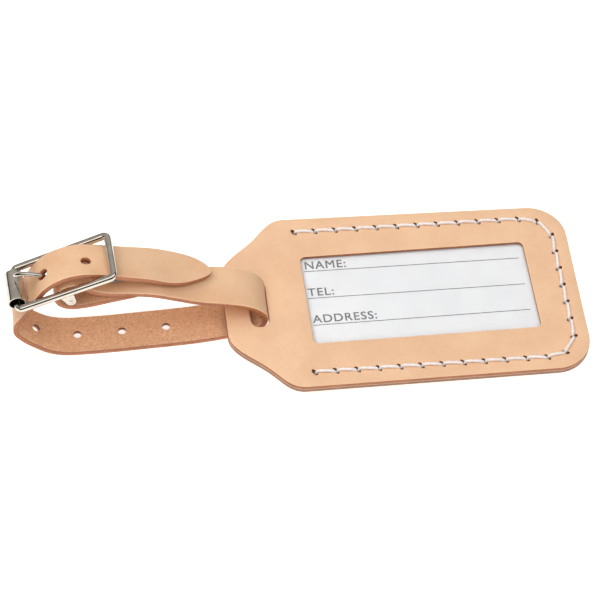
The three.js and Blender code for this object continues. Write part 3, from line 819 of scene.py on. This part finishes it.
def stitch(a, b, surface, sign, sink):
    """One saddle stitch from hole a to hole b, on the face at height surface. sign is 1 on the
    front and -1 on the back; sink scales how far its ends go down into the holes."""
    d = (b - a) / np.linalg.norm(b - a)
    n = np.array([d[1], -d[0]])
    start, end = a - n * STITCH_SLANT, b + n * STITCH_SLANT
    span = end - start
    length = np.linalg.norm(span)
    d = span / length
    far_ends = [(length - x, h) for x, h in reversed(STITCH_ENDS)]
    profile = [*STITCH_ENDS, (length / 2, STITCH_HEIGHT), *far_ends]
    path = []
    for x, h in profile:
        rise = h * (sink if h < 0 else 1) + STITCH_LIFT
        path.append((*(start + d * x), surface + sign * rise))
    return smooth_line(path, 4), (-d[1], d[0], 0)


def thread_section():
    """A two-ply cord's section, a little wider than it is high."""
    section = []
    for a in np.linspace(0, 2 * math.pi, THREAD_SIDES, endpoint=False):
        r = THREAD_RADIUS + THREAD_RELIEF * math.cos(2 * a)
        section.append((r * math.cos(a), r * math.sin(a)))
    return section


def stitches(material):
    section = thread_section()
    pressed = [(u * 0.9, v * 0.85) for u, v in section]  # the back's, flattened in its groove
    parts = []
    for a, b in zip(SEAM[:-1], SEAM[1:]):
        path, side = stitch(a, b, TAG_TOP - STITCH_SINK, 1, 1.0)
        parts.append(sweep(path, side, section, twist=THREAD_TWIST))
        path, side = stitch(a, b, BACK_STITCH_Z, -1, 0.5)
        parts.append(sweep(path, side, pressed, twist=THREAD_TWIST))
    verts, faces = merge_meshes(parts)
    verts = [(x, y, max(z, TABLE_CLEARANCE)) for x, y, z in verts]
    add_piece("stitches", verts, faces, material, "tag", "waxed_thread", TAG, ["seam_thread"])


SHEET_SPACING = 2.0
SHEET_GRID = 4.0
RULE_HALF_WIDTH = 0.13
RULE_STEPS = 20
INK_RISE = 0.01  # the print's middle, over the card
LABEL_CAP_HEIGHT = 2.85
CAP_SHARE = 0.72  # of the font's size
LABEL_SPACING = 1.12
LABEL_PLACE = (0.2, 0.85)  # from the left end of its rule
LABEL_BOLD = 0.05  # the letters are printed four times, this far off their middle


def name_card(paper, ink):
    low = CARD_TOP - CARD_THICKNESS
    points, faces, _ = plate(inset_box(CARD, SHEET_SPACING), [], low, CARD_TOP, 0.06, SHEET_GRID)
    add_piece("card_sheet", points, faces, paper, "card", "card_paper", TAG, ["name_card"])
    section = round_section(RULE_HALF_WIDTH, 0.012, 8, 3.0)
    parts = []
    for x0, y0, x1, y1 in RULES:
        shares = [k / RULE_STEPS for k in range(RULE_STEPS + 1)]
        path = [(x0 + (x1 - x0) * k, y0 + (y1 - y0) * k, CARD_TOP + INK_RISE) for k in shares]
        parts.append(sweep(path, (0, 1, 0), section))
    verts, faces = merge_meshes(parts)
    add_piece("card_rules", verts, faces, ink, "card", "card_paper", TAG)
    for word, rule in zip(("NAME:", "TEL:", "ADDRESS:"), RULES):
        label(word, rule, ink)


def letter_mesh(word):
    """The word as a mesh, from its lower left corner."""
    text = bpy.data.curves.new("label", "FONT")
    text.body = word
    text.size = LABEL_CAP_HEIGHT / CAP_SHARE
    text.space_character = LABEL_SPACING
    text.extrude = 0.008
    letters = bpy.data.objects.new("label", text)
    bpy.context.scene.collection.objects.link(letters)
    bpy.context.view_layer.update()
    mesh = bpy.data.meshes.new_from_object(letters)
    bpy.data.objects.remove(letters)
    return mesh


def label(word, rule, ink):
    """A form label, printed above the left end of its rule."""
    x0, y0, x1, y1 = rule
    mesh = letter_mesh(word)
    turn = Matrix.Rotation(math.atan2(y1 - y0, x1 - x0), 4, "Z")
    place = (x0 + LABEL_PLACE[0], y0 + LABEL_PLACE[1], CARD_TOP + INK_RISE + 0.002)
    mesh.transform(Matrix.Translation(place) @ turn)
    shapes = [tuple(p.vertices) for p in mesh.polygons]
    prints = []
    for k, (u, v) in enumerate([(-1, -1), (1, -1), (1, 1), (-1, 1)]):
        shift = Vector((u * LABEL_BOLD, v * LABEL_BOLD, 0.002 * k))
        prints.append(([tuple(vertex.co + shift) for vertex in mesh.vertices], shapes))
    points, faces = merge_meshes(prints)
    name = "card_label_" + word.strip(":").lower()
    add_piece(name, points, faces, ink, "card", "card_paper", TAG)


def window_film(material):
    low = FILM_TOP - FILM_THICKNESS
    points, faces, _ = plate(inset_box(FILM, SHEET_SPACING), [], low, FILM_TOP, 0.05, SHEET_GRID)
    add_piece("clear_window", points, faces, material, "tag", "clear_film", TAG, ["window_film"])


# ---- the strap ----------------------------------------------------------------------------
ROUTE_STEPS = 200


def route_tables():
    """Distances along the route, each with its share of the knots, and the curve itself as a
    function of that share. The distances are chords, stepped as in the CAD source."""
    knots = np.array(STRAP_ROUTE, float)
    ext = np.vstack([2 * knots[0] - knots[1], knots, 2 * knots[-1] - knots[-2]])

    def at(t):
        p = t * (len(knots) - 1)
        i = np.minimum(p.astype(int), len(knots) - 2)
        w = (p - i)[:, None]
        p0, p1, p2, p3 = ext[i], ext[i + 1], ext[i + 2], ext[i + 3]
        a, b = 0.5 * (p2 - p0), 0.5 * (p3 - p1)
        return p1 + a * w + (3 * (p2 - p1) - 2 * a - b) * w**2 + (2 * (p1 - p2) + a + b) * w**3

    coarse = np.linspace(0, 1, ROUTE_STEPS + 1)
    chords = np.linalg.norm(np.diff(at(coarse)[:, :3], axis=0), axis=1)
    distance = np.concatenate([[0], np.cumsum(chords)])
    return distance, coarse, at


ROUTE_DISTANCE, ROUTE_SHARE, ROUTE_AT = route_tables()
STRAP_LENGTH = float(ROUTE_DISTANCE[-1])


def strap_frames(distance):
    """The strap's middle point, its way across and its grain side's way out, at distances."""
    t = np.interp(distance, ROUTE_DISTANCE, ROUTE_SHARE)
    step = 1e-4
    here = ROUTE_AT(t)
    ahead = ROUTE_AT(np.minimum(t + step, 1.0))[:, :3]
    behind = ROUTE_AT(np.maximum(t - step, 0.0))[:, :3]
    along = ahead - behind
    along /= np.linalg.norm(along, axis=1, keepdims=True)
    flat = np.array([0.0, 1.0, 0.0]) - along[:, 1:2] * along
    flat /= np.linalg.norm(flat, axis=1, keepdims=True)
    roll = -np.radians(here[:, 3:4])
    across = flat * np.cos(roll) + np.cross(along, flat) * np.sin(roll)
    return here[:, :3], across, np.cross(across, along)


def strap_half_width(s):
    if s >= TIP_LENGTH:
        return STRAP_WIDTH / 2
    u = 1 - s / TIP_LENGTH
    return STRAP_WIDTH / 2 * (1 - u**TIP_POINT) ** TIP_FULLNESS


TAB_CORNER = 0.6
STRAP_EDGE_SPACING = 0.9
STRAP_SPACING = 0.95
STRAP_RIM = 0.28


def strap_outline():
    stations = [TIP_LENGTH * (1 - math.cos(math.radians(a))) for a in range(4, 90, 4)]
    edge = [(s, strap_half_width(s)) for s in stations]
    half, corner = STRAP_WIDTH / 2, TAB_CORNER
    edge += [(TIP_LENGTH, half)]
    edge += line((TIP_LENGTH, half), (STRAP_LENGTH - corner, half), STRAP_EDGE_SPACING)
    edge += arc(STRAP_LENGTH - corner, half - corner, corner, 90, 0, 4)
    return [(0.0, 0.0)] + edge + [(s, -v) for s, v in reversed(edge)]


def circle(x, y, radius, sides=20):
    return [(x + u, y + v) for u, v in round_section(radius, radius, sides)]


PRONG_SLOT = (203.5, 211.0)  # the long hole in the fold, as distances from the tip
PRONG_SLOT_HALF = PRONG_RADIUS + 1.0
PRONG_SLOT_CORNER = PRONG_RADIUS + 0.9
PUNCH_FLARE = 0.16  # how much wider a hole is at the grain face than at mid thickness
PUNCH_SHRINK = 0.02  # at mid thickness
FLARE_REACH = 2.6  # from a hole's middle, where the flare has died out
FLARE_FADE = 0.8


def hole_place(index):
    """A punched hole's distance from the tip and its place across the strap."""
    return FIRST_HOLE + index * HOLE_PITCH, HOLE_DRIFT * max(0.0, 1 - index / DRIFT_HOLES)


def widen_towards_grain(points, depth, hole):
    """The punch leaves each hole wider at the grain face than at the flesh side."""
    away = points[:, :2] - np.array(hole)
    reach = np.linalg.norm(away, axis=1, keepdims=True)
    near = np.clip((FLARE_REACH - reach) / FLARE_FADE, 0, 1)
    outward = away / np.maximum(reach, 0.1)
    points[:, :2] += outward * near * (PUNCH_FLARE * depth[:, None] - PUNCH_SHRINK)


def strap(material):
    holes = [rounded_box((*PRONG_SLOT, PRONG_SLOT_HALF, PRONG_SLOT_CORNER), 0.8)]
    for i in range(HOLE_COUNT):
        radius = PRONG_HOLE_RADIUS if i == PRONG_HOLE else PUNCH_RADIUS
        holes.append(circle(*hole_place(i), radius))
    half = STRAP_THICKNESS / 2
    points, faces, marks = plate(
        strap_outline(), holes, -half, half, STRAP_RIM, STRAP_SPACING, bores=HOLE_COUNT
    )
    for i in range(HOLE_COUNT):
        widen_towards_grain(points, marks["depth"], hole_place(i))
    s, v, h = points.T
    share = np.clip((STRAP_LENGTH - s) / SKIVE_LENGTH, 0, 1)
    thickness = SKIVE_THICKNESS + (STRAP_THICKNESS - SKIVE_THICKNESS) * share
    h = half - (half - h) * thickness / STRAP_THICKNESS
    middle, across, out = strap_frames(s)
    bent = middle + across * v[:, None] + out * h[:, None]
    add_piece(
        "strap_leather", bent, faces, material, "strap_loop", "strap_leather", None, ["strap"], **marks
    )


# ---- the rivet ----------------------------------------------------------------------------
RIVET_HEAD = 3.0
RIVET_DOME = 0.42
POST_RADIUS = 1.1


def rivet_cap_profile():
    base = RIVET_TOP + 2 * GAP
    edge = RIVET_HEAD - 0.15
    cap = [(0, base), (RIVET_HEAD - 0.2, base), (RIVET_HEAD, base + 0.12)]
    cap += [(RIVET_HEAD, base + 0.3), (edge, base + 0.48)]
    for a in np.radians(range(12, 90, 13)):
        cap.append((edge * math.cos(a), base + 0.48 + RIVET_DOME * math.sin(a)))
    return cap + [(0, base + 0.9)]


def rivet_post_profile():
    foot = RIVET_BOTTOM - GAP
    post = [(0, foot - 0.6), (2.4, foot - 0.6), (2.7, foot - 0.5), (2.8, foot - 0.3)]
    post += [(2.72, foot - 0.05), (2.6, foot), (POST_RADIUS + 0.05, foot), (POST_RADIUS, foot + 0.1)]
    post += [(POST_RADIUS, RIVET_TOP + 0.1), (1.0, RIVET_TOP + GAP), (0, RIVET_TOP + GAP)]
    return post


def rivet(material):
    place = Matrix.Translation((RIVET_X, RIVET_Y, 0))
    pieces = (
        ("rivet_dome", rivet_cap_profile(), "rivet_cap"),
        ("rivet_stem", rivet_post_profile(), "rivet_post"),
    )
    for name, profile, node in pieces:
        add_piece(name, *lathe(profile), material, "strap_loop", "rivet_metal", place, [node])


# ---- the buckle ---------------------------------------------------------------------------
def rail_half(x):
    """Half the frame's width at a distance from the axle."""
    return (AXLE_WIDTH + (END_WIDTH - AXLE_WIDTH) * x / BUCKLE_LENGTH) / 2


def buckle_path():
    near, far, r = AXLE_WIDTH / 2, END_WIDTH / 2, BUCKLE_CORNER
    path = []
    corners = [(BUCKLE_LENGTH, far, 0), (0, near, 90), (0, -near, 180), (BUCKLE_LENGTH, -far, 270)]
    bends = []
    for x, y, start in corners:
        cx = x - math.copysign(r, x - BUCKLE_LENGTH / 2)
        cy = y - math.copysign(r, y)
        bends.append(arc(cx, cy, r, start, start + 90, 10))
    for k, bend in enumerate(bends):
        path += bend + line(bend[-1], bends[(k + 1) % 4][0], 2.0)
    return [(x, y, 0) for x, y in path]


def lug(side):
    """The flat lug under a rail that holds the centre bar."""
    half = LUG_HALF_WIDTH
    outline = [(-half - LUG_FLARE, 0.0)]
    outline += arc(0, -BAR_DROP, half, 180, 360, 16)
    outline += [(half + LUG_FLARE, 0.0)]
    outline += line((half + LUG_FLARE, 0.0), (-half - LUG_FLARE, 0.0), 0.8)
    half = LUG_THICKNESS / 2
    points, faces, _ = plate(outline, [], -half, half, 0.18, 0.8)
    y = side * rail_half(BAR_X)
    turned = [(BAR_X + p[0], y - p[2], p[1]) for p in points]
    return turned, faces


def buckle_frame(material):
    path = buckle_path()
    scales = [AXLE_SHARE if x < BUCKLE_CORNER / 2 else 1.0 for x, _, _ in path]
    section = round_section(WIRE_RADIUS, sides=32, power=2.25)
    ring = sweep(path, (0, 0, 1), section, closed=True, scales=scales)
    verts, faces = merge_meshes([ring, lug(-1), lug(1)])
    add_piece("buckle_wire", verts, faces, material, "strap_loop", "nickel", BUCKLE, ["buckle_frame"])
    middle_bar(material)


def middle_bar(material):
    """The centre bar, with its ends peened over the lugs."""
    half = rail_half(BAR_X) + LUG_THICKNESS / 2
    ends = [(-half - 0.15, 0.5), (-half - 0.05, 0.85), (-half + 0.15, 1.0)]
    stations = ends + [(y, 1.0) for y in (-4, 0, 4)] + [(-y, k) for y, k in reversed(ends)]
    path = [(BAR_X, y, -BAR_DROP) for y, _ in stations]
    section = round_section(BAR_RADIUS, sides=24)
    bar = sweep(path, (1, 0, 0), section, scales=[k for _, k in stations])
    add_piece("middle_bar", *bar, material, "strap_loop", "nickel", BUCKLE, ["center_bar"])


def roller(material):
    """A rolled sleeve with an open seam along it, on the frame's left side."""
    opening = math.asin(ROLLER_SEAM / ROLLER_OUTER)
    half = ROLLER_LENGTH / 2
    wall = (ROLLER_OUTER - ROLLER_INNER) / 2
    middle = (ROLLER_OUTER + ROLLER_INNER) / 2
    section = round_section(half, wall, 40, 8.0)
    steps = 72
    angles = np.linspace(opening, 2 * math.pi - opening, steps + 1)
    verts, faces, bore = [], [], []
    for a in angles:
        for u, v in section:
            r = middle + v
            verts.append((r * math.cos(a), ROLLER_SHIFT + u, r * math.sin(a)))
            # the inner wall is marked so the metal paints it near black as shade
            bore.append(1.0 if v < -0.1 else 0.0)
    n = len(section)
    for k in range(steps):
        for i in range(n):
            j = (i + 1) % n
            faces.append((k * n + i, k * n + j, (k + 1) * n + j, (k + 1) * n + i))
    faces.append(tuple(range(n - 1, -1, -1)))
    faces.append(tuple(range(steps * n, (steps + 1) * n)))
    add_piece(
        "roller_sleeve", verts, faces, material, "roller", "nickel", BUCKLE, ["roller"], bore=bore
    )


PRONG_EYE_TURN = (180, 440)  # degrees round the centre bar
TAPER_STEPS = 50  # the prong thins over its last steps
ROUND_TIP_STEPS = 12 / 2.2


def prong_scale(steps_left):
    """The wire's thickness near the prong's tip, which is rounded."""
    taper = min(1.0, 0.9 + 0.1 * steps_left / TAPER_STEPS)
    rest = 1 - min(1.0, steps_left / ROUND_TIP_STEPS)
    return taper * math.sqrt(max(0.02, 1 - rest**2))


def prong(material):
    eye = [
        (BAR_X + PRONG_EYE * math.cos(a), 0, -BAR_DROP + PRONG_EYE * math.sin(a))
        for a in np.radians(np.linspace(*PRONG_EYE_TURN, 12))
    ]
    path = smooth_line(eye + PRONG_SHANK, 6)
    scales = [prong_scale(len(path) - 1 - k) for k in range(len(path))]
    section = round_section(PRONG_RADIUS, PRONG_RADIUS * 0.94, 20)
    wire = sweep(path, (0, 1, 0), section, scales=scales)
    add_piece("prong_wire", *wire, material, "prong", "nickel", BUCKLE, ["prong"])


# ---- the studio ---------------------------------------------------------------------------
FLOOR_Z = -0.02
FLOOR_SIZE = 6000


def floor(material):
    mesh = bpy.data.meshes.new("floor")
    corners = [(-1, -1), (1, -1), (1, 1), (-1, 1)]
    corners = [(x * FLOOR_SIZE, y * FLOOR_SIZE, FLOOR_Z) for x, y in corners]
    mesh.from_pydata(corners, [], [(0, 1, 2, 3)])
    mesh.transform(Matrix.Scale(MM, 4))
    mesh.materials.append(material)
    made = bpy.data.objects.new("floor", mesh)
    bpy.context.scene.collection.objects.link(made)


def softbox(name, place, aim, width, height, power, colour=(1, 1, 1)):
    data = bpy.data.lights.new(name, "AREA")
    data.shape = "RECTANGLE"
    data.size, data.size_y = width * MM, height * MM
    data.energy = power
    data.color = colour
    lamp = bpy.data.objects.new(name, data)
    bpy.context.scene.collection.objects.link(lamp)
    lamp.location = Vector(place) * MM
    lamp.rotation_euler = (Vector(aim) - Vector(place)).to_track_quat("-Z", "Y").to_euler()
    lamp.visible_glossy = False  # the metal mirrors the sky's shapes instead


def sky_math(tree, operation, a, b):
    made = tree.nodes.new("ShaderNodeMath")
    made.operation = operation
    tree.links.new(a, made.inputs[0])
    tree.links.new(b, made.inputs[1])
    return made.outputs[0]


def studio_sky(world):
    """What the metal mirrors: a grey wall behind, dark below it and in front, and a bright
    strip overhead."""
    tree = world.node_tree
    coords = tree.nodes.new("ShaderNodeTexCoord")
    split = tree.nodes.new("ShaderNodeSeparateXYZ")
    tree.links.new(coords.outputs["Generated"], split.inputs[0])
    y, z = split.outputs["Y"], split.outputs["Z"]
    behind = sky_math(tree, "MULTIPLY", smooth_step(tree, y, 0.2, 0.3), smooth_step(tree, z, 0.1, 0.35))
    wall = sky_math(tree, "MULTIPLY", behind, smooth_step(tree, z, 0.2, 0.9, 0.3, 0.5))
    from_left = smooth_step(tree, y, -0.62, -0.56)
    to_right = smooth_step(tree, y, 0.02, 0.08, 1, 0)
    across = sky_math(tree, "MULTIPLY", from_left, to_right)
    strip = sky_math(tree, "MULTIPLY", across, smooth_step(tree, z, 0.55, 0.7, 0.0, 1.5))
    total = sky_math(tree, "ADD", wall, strip)
    shade = smooth_step(tree, total, 0.0, 4.0, 0.02, 4.0)
    shade.node.interpolation_type = "LINEAR"
    tree.links.new(shade, tree.nodes["Background"].inputs[1])
    tree.nodes["Background"].inputs[0].default_value = (1.0, 0.985, 0.96, 1)


def lights():
    world = bpy.data.worlds.new("studio")
    bpy.context.scene.world = world
    world.use_nodes = True
    studio_sky(world)
    middle = (-10, 0, 5)
    softbox("key", (-420, 260, 620), middle, 500, 500, 2.05, (1.0, 0.985, 0.96))
    softbox("top", (60, 60, 800), middle, 700, 500, 1.2)
    softbox("front_fill", (-120, -650, 420), middle, 600, 300, 1.5, (0.97, 0.99, 1.0))


CAMERA_AZIMUTH = math.radians(-11.892)
CAMERA_ELEVATION = math.radians(53.506)
CAMERA_ROLL = math.radians(6.0653)
CAMERA_DISTANCE = 760.6
CAMERA_AIM = (-83.015, 0.299, TAG_TOP)  # in the tag's own frame
CAMERA_LENS = 156.0


def camera():
    a, e = CAMERA_AZIMUTH, CAMERA_ELEVATION
    back = Vector((math.sin(a) * math.cos(e), -math.cos(a) * math.cos(e), math.sin(e)))
    right = Vector((math.cos(a), math.sin(a), 0))
    up = back.cross(right)
    c, s = math.cos(CAMERA_ROLL), math.sin(CAMERA_ROLL)
    axes = Matrix((c * right + s * up, c * up - s * right, back)).transposed()
    place = Vector(CAMERA_AIM) + back * CAMERA_DISTANCE
    data = bpy.data.cameras.new("camera")
    data.lens = CAMERA_LENS
    data.sensor_width = 36.0
    data.clip_start, data.clip_end = 0.01, 20.0
    made = bpy.data.objects.new("camera", data)
    bpy.context.scene.collection.objects.link(made)
    seen = TAG @ Matrix.Translation(place) @ axes.to_4x4()
    seen.translation *= MM
    made.matrix_world = seen
    bpy.context.scene.camera = made


camera()
lights()
floor(studio_floor())
front_tones = (srgb(239, 198, 161), srgb(232, 189, 152))
front_edge = (srgb(156, 92, 56), srgb(188, 120, 78))
back_edge = (srgb(136, 98, 80), srgb(164, 124, 102))
strap_tones = (srgb(232, 192, 155), srgb(224, 178, 139))
strap_edge = (srgb(164, 98, 62), srgb(196, 126, 84))
awl_tone = srgb(96, 54, 36)
punch_tone = srgb(186, 112, 68)
nickel = polished_metal("nickel_plate", (0.70, 0.64, 0.56), 0.05, 0.14)
front_panel(leather("front_leather", *front_tones, *front_edge, awl_tone))
back_panel(leather("back_leather", *front_tones, *back_edge, awl_tone))
stitches(waxed_thread())
name_card(card_paper(), printed_ink())
window_film(clear_film())
strap(leather("strap_leather", *strap_tones, *strap_edge, punch_tone, flesh_side=True))
rivet(polished_metal("rivet_plate", (0.40, 0.41, 0.40), 0.3, 0.42))
buckle_frame(nickel)
roller(nickel)
prong(nickel)
bpy.context.scene.view_settings.view_transform = "Standard"
